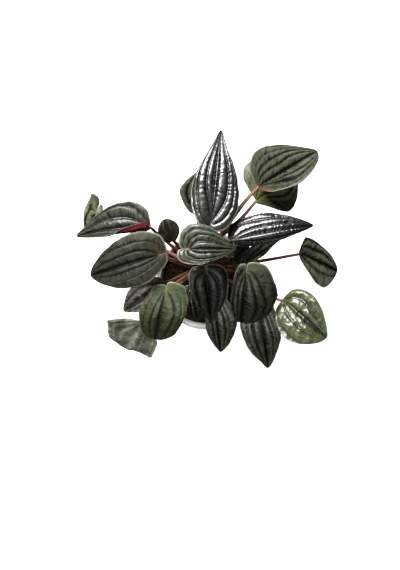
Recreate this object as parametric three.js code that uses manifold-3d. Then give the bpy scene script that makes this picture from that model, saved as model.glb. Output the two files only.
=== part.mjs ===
// A small potted peperomia: grooved, narrow heart-shaped leaves on red-brown petioles that rise from one
// crown in a white pot. Millimetres, +Z up. The origin is the middle of the pot's flat foot.
import * as THREE from 'three';
import { mergeVertices } from 'three/addons/utils/BufferGeometryUtils.js';
import Module from 'manifold-3d';

const wasm = await Module();
wasm.setup();

// Driving dimensions of the pot and the soil.
const POT_HEIGHT = 70;
const POT_RIM_RADIUS = 37.5;
const POT_FOOT_RADIUS = 27;
const POT_WALL = 3.2;
const POT_FLOOR = 4;
const FLOOR_CORNER = 2;
const FOOT_BEVEL = 1.5;
const LIP_STEPS = 6;
const POT_SIDES = 48;
const SOIL_BELOW_RIM = 8;
const SOIL_CRUMBS = 0.5;
const SOIL_RINGS = 7;
const SOIL_SIDES = 36;
const FIT_GAP = 0.3;

// Driving dimensions of the plant. The crown's place is its middle at the height where its widest part ends.
const CROWN = new THREE.Vector3(-6, 9, 60);
const CROWN_RADIUS = 6;
const CROWN_DEPTH = 12;
const CROWN_TOP = 8;
const CROWN_SIDES = 16;
const PETIOLE_RADIUS = 1.5;
const PETIOLE_TIP_RADIUS = 1;
const PETIOLE_START = 3;
const STEM_FORK = [10.5, 32, 98];
const STEM_BEND = [-3, 12, 83.3];
const STEM_RADIUS = 2.4;
const STEM_SIDES = 8;
const PETIOLE_SIDES = 6;
const TUBE_STEPS = 8;

// Shape that all the blades share.
const BLADE_THICKNESS = 0.8;
const BLADE_ROWS = 10;
const NORMAL_STEP = 0.4;
const ROW_SPACING = 1.2; // above 1, the rows lie closer together at the base
const MARGIN_WAVE = 0.5; // height of the edge's waves
const MARGIN_WAVES = 2.5; // waves from base to tip
const RIDGE_FULLNESS = 0.8; // below 1, the ridges are broad and the grooves between them narrow
const VEIN_SPREAD = 1.2; // above 1, the ridges are broader near the midrib than near the edges
const RIDGE_FADE = 0.6; // how the ridges die away where the blade narrows
const EDGE_PACE = 1.5; // how late an edge vein gets ahead, against the midrib
const LOBE_SHARE = 0.035; // how far the lobes reach back, in blade lengths, before a leaf's own lobe
const SINUS_START = 0.03; // the notch between the lobes, as a share of the way along the edge veins
const SINUS_END = 0.17;
const SINUS_SHARPNESS = 4;
const TIP_BLUNTNESS = 0.25; // how round the blade's point is, 0 for a sharp one
const DIP_POWER = 6; // how near the base the lobes' furthest point back lies
const DIP_PEAK = (1 / (DIP_POWER + 1)) * (DIP_POWER / (DIP_POWER + 1)) ** DIP_POWER;

const rad = THREE.MathUtils.degToRad;

// ---- Leaf blades -------------------------------------------------------------------------------------
// Millimetres and degrees. Where a value is a pair, it is for the left and the right half, seen from above
// with the tip ahead.
//   base, tip: where the petiole meets the blade, and the blade's point
//   rise, fall: how steeply the midrib leaves the straight line from base to tip, and comes back to it
//   bend: how far the midrib's middle lies to the left of that line
//   open: how much flatter the two halves are at the tip than at the base, 0 to 1
//   bands, ridge: ridges on each half, and their height
//   width, lobe: half width, and how far the lobe reaches back behind the base
//   fold, curl: how steeply the half rises from the midrib, and how far it then bends back down
//   widest: where the half is widest, as a share of its length
//   shoulder, point: powers of the outline before and after that place; a low one is full, a high one slim
//   via, from, stout: points of the petiole's way, its start where that isn't the crown, and its radius there
const LEAVES = [
  {
    name: 'leaf_tall', base: [3, 38.8, 140], tip: [10.1, 103.9, 128],
    rise: 6, fall: 12, bend: 0, open: 0, bands: 3, ridge: 1,
    width: [16, 17.8], lobe: [6, 6.5], fold: [15, 15], curl: [40, 40],
    widest: [0.3, 0.25], shoulder: [0.85, 0.75], point: [1.3, 1.35],
  },
  {
    name: 'leaf_behind_tall', base: [-5.9, 49.3, 112], tip: [-1, 80, 116],
    rise: 15, fall: 30, bend: 0, open: 0, bands: 3, ridge: 0.9,
    width: [15, 10], lobe: [3, 3], fold: [20, 20], curl: [40, 40],
    widest: [0.4, 0.37], shoulder: [0.8, 0.8], point: [1.2, 0.9],
  },
  {
    name: 'leaf_right_top', base: [36.4, 64.7, 126], tip: [75.9, 88.2, 138],
    rise: 5, fall: 25, bend: 0, open: 0.5, bands: 4, ridge: 1,
    width: [22.5, 17], lobe: [0, 0], fold: [0, 48], curl: [20, -10],
    widest: [0.27, 0.5], shoulder: [0.5, 0.8], point: [1, 0.6],
    via: [[21, 47, 116], [30.2, 58.5, 122]], from: STEM_FORK, stout: 1.9,
  },
  {
    name: 'leaf_right_under', base: [35.8, 56.4, 112], tip: [65, 77.2, 108],
    rise: 15, fall: 25, bend: 0, open: 0, bands: 3, ridge: 0.9,
    width: [26, 20], lobe: [0, 2], fold: [10, 10], curl: [30, 30],
    widest: [0.35, 0.42], shoulder: [0.45, 1.4], point: [0.8, 1.1],
    via: [[23, 42, 104]], from: STEM_FORK, stout: 1.9,
  },
  {
    name: 'leaf_right_glossy', base: [19.1, 27.5, 132], tip: [74.3, 37.6, 130],
    rise: 8, fall: 15, bend: 0, open: 0, bands: 3, ridge: 1,
    width: [16.5, 10.3], lobe: [4, 1], fold: [-12, -38], curl: [25, 35],
    widest: [0.35, 0.3], shoulder: [0.5, 0.7], point: [1, 1],
  },
  {
    name: 'leaf_right_small', base: [29.4, 12, 108], tip: [52.6, 28.8, 114],
    rise: 15, fall: 20, bend: 0, open: 0, bands: 2, ridge: 0.8,
    width: [9, 5], lobe: [3, 1], fold: [30, 70], curl: [10, 10],
    widest: [0.38, 0.3], shoulder: [0.7, 0.7], point: [1, 1],
  },
  {
    name: 'leaf_far_right', base: [67.6, 18.4, 108], tip: [95.8, 6.9, 94],
    rise: 15, fall: 20, bend: 0, open: 0.5, bands: 2, ridge: 1,
    width: [13.4, 15.8], lobe: [2, 1], fold: [5, 20], curl: [25, 25],
    widest: [0.03, 0.72], shoulder: [0.3, 0.9], point: [0.8, 0.6],
    via: [[38.7, 13.6, 98]],
  },
  {
    name: 'leaf_lower_right', base: [56.2, -15, 102], tip: [86.1, -41.5, 110],
    rise: 20, fall: 25, bend: 0, open: 0, bands: 2, ridge: 1.1,
    width: [16.5, 20], lobe: [1, 1], fold: [15, 15], curl: [25, 25],
    widest: [0.3, 0.45], shoulder: [0.6, 0.7], point: [0.9, 0.65],
  },
  {
    name: 'leaf_lower_dark', base: [27.6, 4.6, 128], tip: [24.2, -30.7, 98],
    rise: 30, fall: 25, bend: 0, open: 0, bands: 3, ridge: 1,
    width: [27, 9], lobe: [7.5, 6], fold: [10, 10], curl: [60, 30],
    widest: [0.47, 0.3], shoulder: [0.6, 0.6], point: [0.4, 0.7],
  },
  {
    name: 'leaf_lower_centre', base: [-0.7, 5.9, 132], tip: [3.6, -31.7, 106],
    rise: 22, fall: 8, bend: 0, open: 0, bands: 2, ridge: 1.1,
    width: [15.5, 12.5], lobe: [4.5, 4.5], fold: [20, 20], curl: [40, 40],
    widest: [0.2, 0.18], shoulder: [0.6, 0.6], point: [1.4, 1.4],
  },
  {
    name: 'leaf_central', base: [-11.9, 20.4, 152], tip: [20.1, 20.5, 149],
    rise: 15, fall: 20, bend: 0, open: 0, bands: 4, ridge: 0.9,
    width: [17.3, 10.5], lobe: [7, 8], fold: [5, 20], curl: [20, 30],
    widest: [0.22, 0.2], shoulder: [0.7, 0.7], point: [1.4, 1.1],
  },
  {
    name: 'leaf_small_brown', base: [-24.3, 27.7, 118], tip: [-29.7, 42.4, 121],
    rise: 20, fall: 30, bend: 0, open: 0, bands: 2, ridge: 0.6,
    width: [7.5, 8], lobe: [1, 1], fold: [20, 20], curl: [30, 30],
    widest: [0.5, 0.5], shoulder: [0.7, 0.7], point: [0.6, 0.6],
  },
  {
    name: 'leaf_left_big', base: [-32.6, 17, 130], tip: [-81.3, 2.9, 122],
    rise: 20, fall: 25, bend: 0, open: 0, bands: 3, ridge: 1,
    width: [17, 20], lobe: [5, 6], fold: [12, 12], curl: [30, 30],
    widest: [0.38, 0.28], shoulder: [0.8, 0.6], point: [0.75, 0.8],
    stout: 2.2,
  },
  {
    name: 'leaf_upper_left', base: [-40.2, 37.7, 113], tip: [-93.6, 31.3, 102],
    rise: 18, fall: 18, bend: -1.7, open: 0.66, bands: 3, ridge: 1,
    width: [14.1, 18.6], lobe: [-0.3, 0.3], fold: [26.3, -7.6], curl: [-175.9, -6.3],
    widest: [0.03, 0.28], shoulder: [0.49, 0.58], point: [1.18, 1.23],
  },
  {
    name: 'leaf_far_left', base: [-80.4, 48.4, 96], tip: [-88.6, 32.2, 86.5],
    rise: 25, fall: 25, bend: 0.4, open: 0.16, bands: 2, ridge: 0.8,
    width: [6.7, 10], lobe: [7.4, 11.8], fold: [-15.6, 26.9], curl: [-90.9, -15.8],
    widest: [0.43, 0.08], shoulder: [0.72, 0.48], point: [1.27, 1.97],
  },
  {
    name: 'leaf_left_under', base: [-30.85, -3.1, 112], tip: [-59.7, -22.7, 100],
    rise: 25, fall: 20, bend: 0, open: 0, bands: 2, ridge: 0.9,
    width: [10, 12], lobe: [2, 2], fold: [20, 20], curl: [30, 30],
    widest: [0.38, 0.38], shoulder: [0.7, 0.7], point: [1, 1],
  },
  {
    name: 'leaf_lower_left', base: [-29.1, -8.4, 122], tip: [-37.3, -43.6, 88],
    rise: 35, fall: 25, bend: 0, open: 0, bands: 3, ridge: 1,
    width: [18, 15], lobe: [7, 4], fold: [10, 10], curl: [35, 35],
    widest: [0.25, 0.4], shoulder: [0.5, 0.6], point: [0.7, 0.5],
  },
  {
    name: 'leaf_bottom_left', base: [-45.1, -25.8, 82], tip: [-61.2, -53.9, 46],
    rise: 20, fall: 10, bend: 0, open: 0.3, bands: 3, ridge: 1,
    width: [20.2, 23.2], lobe: [0.4, -5.9], fold: [5, 5], curl: [-6.6, -7.9],
    widest: [0.68, 0.39], shoulder: [0.53, 1.45], point: [1.76, 0.49],
  },
  {
    name: 'leaf_under_centre', base: [5.3, -11.8, 94], tip: [11, -54.3, 68],
    rise: 30, fall: 15, bend: 0, open: 0, bands: 3, ridge: 0.9,
    width: [14.5, 8.5], lobe: [4, 4], fold: [15, 15], curl: [35, 35],
    widest: [0.42, 0.42], shoulder: [0.7, 0.7], point: [1, 1],
  },
  {
    name: 'leaf_under_right', base: [38.5, -14.9, 84], tip: [47.9, -67.5, 54],
    rise: 30, fall: 20, bend: 0, open: 0, bands: 3, ridge: 1.1,
    width: [13, 16.5], lobe: [4, 4], fold: [20, 20], curl: [40, 40],
    widest: [0.35, 0.3], shoulder: [0.7, 0.7], point: [1, 1.2],
  },
  {
    name: 'leaf_hidden_dark', base: [-11, -7.4, 108], tip: [-6, -29.5, 92],
    rise: 25, fall: 20, bend: 0, open: 0, bands: 3, ridge: 0.8,
    width: [9, 8.5], lobe: [4, 4], fold: [20, 20], curl: [30, 30],
    widest: [0.4, 0.4], shoulder: [0.7, 0.7], point: [0.9, 0.9],
  },
  {
    name: 'leaf_young_curl', base: [10.9, 20, 124], tip: [19.8, 16.3, 120],
    rise: 20, fall: 20, bend: 0, open: 0, bands: 2, ridge: 0.3,
    width: [3, 3], lobe: [0.5, 0.5], fold: [30, 30], curl: [20, 20],
    widest: [0.4, 0.4], shoulder: [0.7, 0.7], point: [0.9, 0.9],
  },
  {
    name: 'leaf_young_shade', base: [17.9, 12.8, 102], tip: [31.3, 26.3, 107],
    rise: 20, fall: 20, bend: 0, open: 0, bands: 2, ridge: 0.5,
    width: [6, 6], lobe: [1, 1], fold: [25, 25], curl: [20, 20],
    widest: [0.4, 0.4], shoulder: [0.7, 0.7], point: [0.9, 0.9],
  },
];

const LEFT = 0;
const RIGHT = 1;

const sideOf = (across) => (across >= 0 ? LEFT : RIGHT);

// Axes of a blade: along the line from base to tip, its own up, and its left.
function bladeAxes(leaf) {
  const base = new THREE.Vector3(...leaf.base);
  const chord = new THREE.Vector3(...leaf.tip).sub(base);
  const length = chord.length();
  const ahead = chord.divideScalar(length);
  const up = new THREE.Vector3(0, 0, 1).addScaledVector(ahead, -ahead.z).normalize();
  const left = up.clone().cross(ahead);
  return { base, length, ahead, up, left };
}

// The midrib's point at distance `along`, and its direction there. It goes on straight behind the base.
function midrib(leaf, axes, along) {
  const k = Math.max(0, along / axes.length);
  const rise = Math.tan(rad(leaf.rise));
  const fall = Math.tan(rad(leaf.fall));
  const height = axes.length * (rise * k * (1 - k) ** 2 + fall * k * k * (1 - k));
  const sideways = leaf.bend * 4 * k * (1 - k);
  const slope = rise * (1 - k) * (1 - 3 * k) + fall * k * (2 - 3 * k);
  const drift = (leaf.bend * 4 * (1 - 2 * k)) / axes.length;
  const direction = axes.ahead.clone().addScaledVector(axes.up, slope).addScaledVector(axes.left, drift);
  const point = axes.base.clone().addScaledVector(axes.ahead, k * axes.length)
    .addScaledVector(axes.up, height).addScaledVector(axes.left, sideways);
  if (along < 0) point.addScaledVector(direction, along);
  return { point, direction: direction.normalize() };
}

// A point of the smooth blade, `along` the midrib and `across` it, left positive.
function bladePoint(leaf, axes, along, across) {
  const { point, direction } = midrib(leaf, axes, along);
  const up = axes.up.clone().addScaledVector(direction, -axes.up.dot(direction)).normalize();
  const left = up.clone().cross(direction);
  const side = sideOf(across);
  const opening = 1 - leaf.open * THREE.MathUtils.clamp(along / axes.length, 0, 1);
  const fold = rad(leaf.fold[side]) * opening;
  const bending = (rad(leaf.curl[side]) * opening) / leaf.width[side];
  const reach = Math.abs(across);
  const out = (Math.sin(fold) - Math.sin(fold - bending * reach)) / bending;
  const lift = (Math.cos(fold - bending * reach) - Math.cos(fold)) / bending;
  return point.addScaledVector(left, side === LEFT ? out : -out).addScaledVector(up, lift);
}

function bladeNormal(leaf, axes, along, across) {
  const at = (u, v) => bladePoint(leaf, axes, u, v);
  const ahead = at(along + NORMAL_STEP, across).sub(at(along - NORMAL_STEP, across));
  const left = at(along, across + NORMAL_STEP).sub(at(along, across - NORMAL_STEP));
  return ahead.cross(left).normalize();
}

// Where a vein runs on the flat blade. Every vein leaves the base, goes round its share of the lobe and
// ends at the tip: s is 0 on the midrib and 1 or -1 on the edge, t is 0 at the base and 1 at the tip.
function veinPlace(leaf, length, s, t) {
  const side = sideOf(s);
  const share = Math.abs(s);
  const reach = t ** EDGE_PACE;
  const widest = leaf.widest[side];
  const before = Math.sin((Math.PI / 2) * Math.min(1, reach / widest) ** leaf.shoulder[side]);
  const beyond = Math.max(0, (reach - widest) / (1 - widest));
  const slim = Math.max(0, Math.cos((Math.PI / 2) * beyond)) ** leaf.point[side];
  const swelling = reach < widest ? before : Math.sqrt(slim ** 2 + TIP_BLUNTNESS * (1 - beyond) * beyond ** 4);
  const closing = share ** SINUS_SHARPNESS * (1 - THREE.MathUtils.smoothstep(t, SINUS_START, SINUS_END));
  const breadth = swelling * (1 - closing);
  const dip = (t * (1 - t) ** DIP_POWER) / DIP_PEAK;
  const edge = length * reach - (leaf.lobe[side] + LOBE_SHARE * length) * dip;
  return {
    along: length * t + share ** 2 * (edge - length * t),
    across: s * leaf.width[side] * breadth,
    breadth: swelling,
  };
}

// How far the surface stands off the smooth blade: ridges between the veins, and waves along the edges.
function relief(leaf, place, s, t) {
  const bandPlace = leaf.bands * Math.abs(s) ** VEIN_SPREAD;
  const swell = Math.abs(Math.sin(Math.PI * bandPlace)) ** RIDGE_FULLNESS - 0.5;
  const phase = leaf.tip[0] + Math.sign(s);
  const wave = Math.abs(s) ** 3 * Math.sin(2 * Math.PI * MARGIN_WAVES * t + phase);
  return (leaf.ridge * swell + MARGIN_WAVE * wave) * place.breadth ** RIDGE_FADE;
}

// The closed blade: a top and an underside with the same grid and diagonals, joined round the edge. The
// grid's lines follow the veins, two steps to a ridge.
function bladeGeometry(leaf) {
  const axes = bladeAxes(leaf);
  const half = leaf.bands * 2;
  const rows = BLADE_ROWS;
  const positions = [];
  const indices = [];
  const grid = [];
  const pushPoint = (s, t, face) => {
    const place = veinPlace(leaf, axes.length, s, t);
    const normal = bladeNormal(leaf, axes, place.along, place.across);
    const offset = relief(leaf, place, s, t) + (face * BLADE_THICKNESS) / 2;
    const point = bladePoint(leaf, axes, place.along, place.across).addScaledVector(normal, offset);
    return positions.push(point.x, point.y, point.z) / 3 - 1;
  };
  for (const face of [1, -1]) {
    const sheet = [];
    const first = pushPoint(0, 0, face);
    const last = pushPoint(0, 1, face);
    for (let j = 0; j <= rows; j++) {
      const t = (j / rows) ** ROW_SPACING;
      const row = [];
      for (let i = -half; i <= half; i++) {
        if (j === 0) row.push(first);
        else if (j === rows) row.push(last);
        else row.push(pushPoint(Math.sign(i) * (Math.abs(i) / half) ** (1 / VEIN_SPREAD), t, face));
      }
      sheet.push(row);
    }
    grid.push(sheet);
  }
  const triangle = (a, b, c) => {
    if (a !== b && b !== c && a !== c) indices.push(a, b, c);
  };
  const [top, under] = grid;
  for (let j = 0; j < rows; j++) {
    for (let i = 0; i < half * 2; i++) {
      const next = j + 1;
      triangle(top[j][i], top[next][i + 1], top[j][i + 1]);
      triangle(top[j][i], top[next][i], top[next][i + 1]);
      triangle(under[j][i], under[j][i + 1], under[next][i + 1]);
      triangle(under[j][i], under[next][i + 1], under[next][i]);
    }
    const edge = half * 2;
    triangle(top[j][0], under[j + 1][0], top[j + 1][0]);
    triangle(top[j][0], under[j][0], under[j + 1][0]);
    triangle(top[j][edge], top[j + 1][edge], under[j + 1][edge]);
    triangle(top[j][edge], under[j + 1][edge], under[j][edge]);
  }
  const geometry = new THREE.BufferGeometry();
  geometry.setAttribute('position', new THREE.Float32BufferAttribute(positions, 3));
  geometry.setIndex(indices);
  return geometry;
}

// A blade's base, where the petiole comes up to it, and the way that its top faces there.
function bladeFoot(leaf) {
  const axes = bladeAxes(leaf);
  const { direction } = midrib(leaf, axes, 0);
  const normal = axes.up.clone().addScaledVector(direction, -axes.up.dot(direction)).normalize();
  return { base: axes.base, normal };
}

// ---- Crown and petioles ------------------------------------------------------------------------------

// Closed tube of round section along a curve, thinning evenly from one end to the other.
function taperedTube(curve, sides, startRadius, endRadius) {
  const steps = TUBE_STEPS;
  const frames = curve.computeFrenetFrames(steps, false);
  const positions = [];
  const indices = [];
  for (let j = 0; j <= steps; j++) {
    const centre = curve.getPointAt(j / steps);
    const radius = THREE.MathUtils.lerp(startRadius, endRadius, j / steps);
    for (let i = 0; i < sides; i++) {
      const turn = (i / sides) * 2 * Math.PI;
      const point = centre.clone()
        .addScaledVector(frames.normals[j], radius * Math.cos(turn))
        .addScaledVector(frames.binormals[j], radius * Math.sin(turn));
      positions.push(point.x, point.y, point.z);
    }
  }
  for (let j = 0; j < steps; j++) {
    for (let i = 0; i < sides; i++) {
      const a = j * sides + i;
      const b = j * sides + ((i + 1) % sides);
      indices.push(a, b, b + sides, a, b + sides, a + sides);
    }
  }
  const end = steps * sides;
  for (let i = 1; i < sides - 1; i++) {
    indices.push(0, i + 1, i, end, end + i, end + i + 1);
  }
  const geometry = new THREE.BufferGeometry();
  geometry.setAttribute('position', new THREE.Float32BufferAttribute(positions, 3));
  geometry.setIndex(indices);
  return geometry;
}

// Solid of revolution about Z, from points of radius and height.
function latheSolid(profile, segments) {
  const points = profile.map(([x, z]) => new THREE.Vector2(x, z));
  return new THREE.LatheGeometry(points, segments).rotateX(Math.PI / 2);
}

function solidOf(geometry) {
  const bare = geometry.clone();
  bare.deleteAttribute('normal');
  bare.deleteAttribute('uv');
  const merged = mergeVertices(bare);
  return new wasm.Manifold(new wasm.Mesh({
    numProp: 3,
    vertProperties: new Float32Array(merged.getAttribute('position').array),
    triVerts: new Uint32Array(merged.index.array),
  }));
}

function geometryOf(solid) {
  const mesh = solid.getMesh();
  const geometry = new THREE.BufferGeometry();
  geometry.setAttribute('position', new THREE.BufferAttribute(new Float32Array(mesh.vertProperties), 3));
  geometry.setIndex(new THREE.BufferAttribute(new Uint32Array(mesh.triVerts), 1));
  return geometry;
}

// The petiole's way: up from the crown, through any points given by hand, and into the blade from below.
function petioleCurve(leaf) {
  const { base, normal } = bladeFoot(leaf);
  const start = leaf.from ? new THREE.Vector3(...leaf.from) : CROWN.clone().setZ(CROWN.z + PETIOLE_START);
  const spread = base.clone().sub(start).setZ(0);
  if (!leaf.from) start.addScaledVector(spread.clone().normalize(), CROWN_RADIUS * 0.45);
  const arrival = base.clone().sub(start).normalize().add(normal).normalize();
  const lean = Math.sqrt(1 - arrival.dot(normal) ** 2);
  const droop = Math.max(0, ...leaf.fold.map((fold) => Math.tan(rad(-fold))));
  const end = base.clone()
    .addScaledVector(normal, -(BLADE_THICKNESS / 2 + FIT_GAP + PETIOLE_TIP_RADIUS * (lean + droop)));
  if (leaf.via) {
    const middle = leaf.via.map((place) => new THREE.Vector3(...place));
    return new THREE.CatmullRomCurve3([start, ...middle, end], false, 'centripetal');
  }
  const leaving = start.clone().addScaledVector(spread, 0.2);
  leaving.z = THREE.MathUtils.lerp(start.z, end.z, 0.4);
  const arriving = end.clone().addScaledVector(arrival, -0.25 * end.distanceTo(start));
  return new THREE.CubicBezierCurve3(start, leaving, arriving, end);
}

function crownGeometry() {
  const profile = [
    [0, CROWN.z - CROWN_DEPTH], [CROWN_RADIUS * 0.7, CROWN.z - CROWN_DEPTH],
    [CROWN_RADIUS, CROWN.z - CROWN_DEPTH * 0.5], [CROWN_RADIUS, CROWN.z],
    [CROWN_RADIUS * 0.75, CROWN.z + CROWN_TOP * 0.6], [CROWN_RADIUS * 0.35, CROWN.z + CROWN_TOP * 0.95],
    [0, CROWN.z + CROWN_TOP],
  ];
  const core = latheSolid(profile, CROWN_SIDES).translate(CROWN.x, CROWN.y, 0);
  const stemPlaces = [CROWN, new THREE.Vector3(...STEM_BEND), new THREE.Vector3(...STEM_FORK)];
  const stem = new THREE.CatmullRomCurve3(stemPlaces, false, 'centripetal');
  let plant = solidOf(core).add(solidOf(taperedTube(stem, STEM_SIDES, STEM_RADIUS * 1.2, STEM_RADIUS)));
  for (const leaf of LEAVES) {
    const radius = leaf.stout ?? PETIOLE_RADIUS;
    const tube = taperedTube(petioleCurve(leaf), PETIOLE_SIDES, radius, PETIOLE_TIP_RADIUS);
    plant = plant.add(solidOf(tube));
  }
  return geometryOf(plant);
}

// ---- Soil and pot ------------------------------------------------------------------------------------
const potOuter = (z) => THREE.MathUtils.lerp(POT_FOOT_RADIUS, POT_RIM_RADIUS, z / POT_HEIGHT);
const potInner = (z) => potOuter(z) - POT_WALL;

// The soil's top is a low, crumbly ground: two crossed waves, still at the pot's wall.
const crumbHeight = (x, y) => Math.sin(x * 0.9 + 1) * Math.cos(y * 1.1) + 0.6 * Math.sin(x * 2.3 - y * 1.7);

function soilGeometry() {
  const top = POT_HEIGHT - SOIL_BELOW_RIM;
  const bottom = POT_FLOOR + FIT_GAP;
  const corner = bottom + FLOOR_CORNER;
  const reach = potInner(top) - FIT_GAP;
  const profile = [
    [0, bottom], [potInner(POT_FLOOR) - FLOOR_CORNER - FIT_GAP, bottom], [potInner(corner) - FIT_GAP, corner],
  ];
  for (let i = SOIL_RINGS; i >= 0; i--) profile.push([(reach * i) / SOIL_RINGS, top]);
  const plug = latheSolid(profile, SOIL_SIDES);
  const places = plug.getAttribute('position');
  for (let i = 0; i < places.count; i++) {
    const x = places.getX(i);
    const y = places.getY(i);
    const onTop = places.getZ(i) > top - FIT_GAP;
    if (onTop && Math.hypot(x, y) < reach - FIT_GAP) places.setZ(i, top + SOIL_CRUMBS * crumbHeight(x, y));
  }
  const holeRadius = CROWN_RADIUS + FIT_GAP;
  const holeBottom = CROWN.z - CROWN_DEPTH - FIT_GAP;
  const hole = latheSolid([
    [0, holeBottom], [holeRadius, holeBottom], [holeRadius, POT_HEIGHT], [0, POT_HEIGHT],
  ], CROWN_SIDES).translate(CROWN.x, CROWN.y, 0);
  return geometryOf(solidOf(plug).subtract(solidOf(hole)));
}

function potGeometry() {
  const lip = POT_WALL / 2;
  const middle = POT_RIM_RADIUS - lip;
  const profile = [[0, 0], [POT_FOOT_RADIUS - FOOT_BEVEL, 0], [POT_FOOT_RADIUS, FOOT_BEVEL]];
  for (let i = 0; i <= LIP_STEPS; i++) {
    const turn = (i / LIP_STEPS) * Math.PI;
    profile.push([middle + lip * Math.cos(turn), POT_HEIGHT - lip + lip * Math.sin(turn)]);
  }
  profile.push(
    [potInner(POT_FLOOR + FLOOR_CORNER), POT_FLOOR + FLOOR_CORNER],
    [potInner(POT_FLOOR) - FLOOR_CORNER, POT_FLOOR],
    [0, POT_FLOOR],
  );
  return latheSolid(profile, POT_SIDES);
}

// ---- The part ----------------------------------------------------------------------------------------
const group = new THREE.Group();

function addMesh(name, geometry, color, roughness) {
  const mesh = new THREE.Mesh(geometry, new THREE.MeshStandardMaterial({ color, roughness, metalness: 0 }));
  mesh.name = name;
  group.add(mesh);
}

addMesh('pot', potGeometry(), 0xf2f1ee, 0.25);
addMesh('soil', soilGeometry(), 0x2a1c12, 0.95);
addMesh('crown_and_petioles', crownGeometry(), 0x7a4534, 0.5);
for (const leaf of LEAVES) addMesh(leaf.name, bladeGeometry(leaf), 0x4b5142, 0.4);

export default group;
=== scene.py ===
# A small potted peperomia: narrow heart-shaped, grooved leaves on red-brown petioles in a plain white pot.
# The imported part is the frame. Every piece is made in metres in its axes: +Z up, origin under the pot's foot.
import math
import random

import bmesh
import bpy
import numpy as np
from bpy.props import FloatProperty, FloatVectorProperty, IntProperty, PointerProperty
from mathutils import Matrix, Vector, noise


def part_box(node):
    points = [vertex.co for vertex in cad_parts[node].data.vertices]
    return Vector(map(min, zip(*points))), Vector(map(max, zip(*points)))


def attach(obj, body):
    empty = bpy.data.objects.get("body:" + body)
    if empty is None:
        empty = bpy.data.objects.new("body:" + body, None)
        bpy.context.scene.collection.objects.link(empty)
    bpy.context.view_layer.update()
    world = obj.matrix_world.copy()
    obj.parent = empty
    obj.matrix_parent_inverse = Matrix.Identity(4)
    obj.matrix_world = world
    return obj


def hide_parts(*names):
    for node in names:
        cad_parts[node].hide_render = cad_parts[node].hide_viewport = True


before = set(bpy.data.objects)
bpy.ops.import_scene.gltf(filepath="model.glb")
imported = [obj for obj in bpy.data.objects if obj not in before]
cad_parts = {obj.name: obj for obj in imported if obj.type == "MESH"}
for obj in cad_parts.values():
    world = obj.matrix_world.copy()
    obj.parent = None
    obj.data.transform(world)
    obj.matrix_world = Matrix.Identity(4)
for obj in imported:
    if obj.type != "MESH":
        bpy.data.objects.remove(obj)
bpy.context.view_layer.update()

bl_info = {
    "name": "Potted Peperomia",
    "version": (1, 0, 0),
    "blender": (4, 5, 0),
    "location": "View3D > Sidebar > Peperomia",
    "description": "Builds a potted peperomia with grooved leaves round its frame",
    "category": "Object",
}

MM = 0.001

# ---- Sizes that the frame gives, in metres ----
POT_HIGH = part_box("pot")[1]
POT_HEIGHT, POT_RIM_RADIUS = POT_HIGH.z, POT_HIGH.x
SOIL_LOW, SOIL_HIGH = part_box("soil")
SOIL_TOP, SOIL_RADIUS = SOIL_HIGH.z, SOIL_HIGH.x

# ---- The plant, in millimetres, as in the part's source ----
CROWN = (-6, 9, 60)
CROWN_RADIUS = 6
PETIOLE_START = 3
PETIOLE_RADIUS = 1.5
PETIOLE_TIP_RADIUS = 1
STEM_FORK = (10.5, 32, 98)
STEM_BEND = (-3, 12, 83.3)
STEM_RADIUS = 2.4
BLADE_THICKNESS = 0.8
MARGIN_WAVE = 0.5
MARGIN_WAVES = 2.5
VEIN_SPREAD = 1.2
RIDGE_FADE = 0.6
EDGE_PACE = 1.5
LOBE_SHARE = 0.035
SINUS = (0.03, 0.17)
SINUS_SHARPNESS = 4
TIP_BLUNTNESS = 0.25
DIP_POWER = 6
DIP_PEAK = (1 / (DIP_POWER + 1)) * (DIP_POWER / (DIP_POWER + 1)) ** DIP_POWER
NORMAL_STEP = 0.4

# ---- The blades' finer relief, in millimetres, or in shares of a ridge or of the way to the tip ----
RIDGE_FULLNESS = 0.55
RIDGE_DEPTH = 1.5
VEIN_WANDER, VEIN_UNEVENNESS = 0.5, 0.45
FAINTEST_VEIN = 0.65
TIP_FADING = 0.7
GROOVE_DEPTH, MIDRIB_GROOVE_DEPTH = 0.3, 0.45
GROOVE_WIDTH, MIDRIB_GROOVE_WIDTH = 0.1, 0.15
RIB_HEIGHT, RIB_WIDTH = 0.35, 0.35
CREASE_SPACING, CREASE_SLANT, CREASE_DRIFT = 3.2, 0.9, 1.1
LUMP_SIZE, DIMPLE_SIZE, DIMPLE_SHARE = 5, 2.4, 0.45
NICK_SIZE, NICK_SHARE = 5, 0.035
LIME_REACH, LIME_EDGE = (0.1, 0.45), (0.7, 1)
BLUSH_REACH, BLUSH_EDGE = (0.1, 0.5), (0.86, 0.95)
# What each noise adds to its leaf's seed, and the steps of the seed along each axis
UNEVEN, FAINT, BROKEN, DIMPLES, LUMPS, NICKS = 50, 80, 3, 6, 9, 20
SEED_STEPS = (17.3, 5.1, 9.7)

USUAL_LEAF = dict(rise=20, fall=20, bend=0, open=0, bands=3, ridge=1, fold=(20, 20), curl=(30, 30),
                  widest=(0.4, 0.4), shoulder=(0.7, 0.7), point=(1, 1), shade=1, lime=(0, 0), blush=0, soft=1,
                  outer=1, deep=1, ruffle=1, crease=0.15, lumps=0.25, stout=PETIOLE_RADIUS, stalk="maroon")


def grow(name, tone, **own):
    """A leaf's own values over the usual ones. Its shape is as in the part's source. Its look is a tone and a
    factor on its colour (shade), partly the leaf's own lightness and partly painted light, set high on leaves
    that lie in the shade of others, fresh green near its base and at its edge (lime), red along its right edge
    (blush), how low its ridges are (soft), how faint its outer veins, how deep its grooves, how high its edge
    waves (ruffle), and the heights of its slanted creases and its lumps."""
    return {**USUAL_LEAF, "name": name, "tone": tone, **own}


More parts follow.
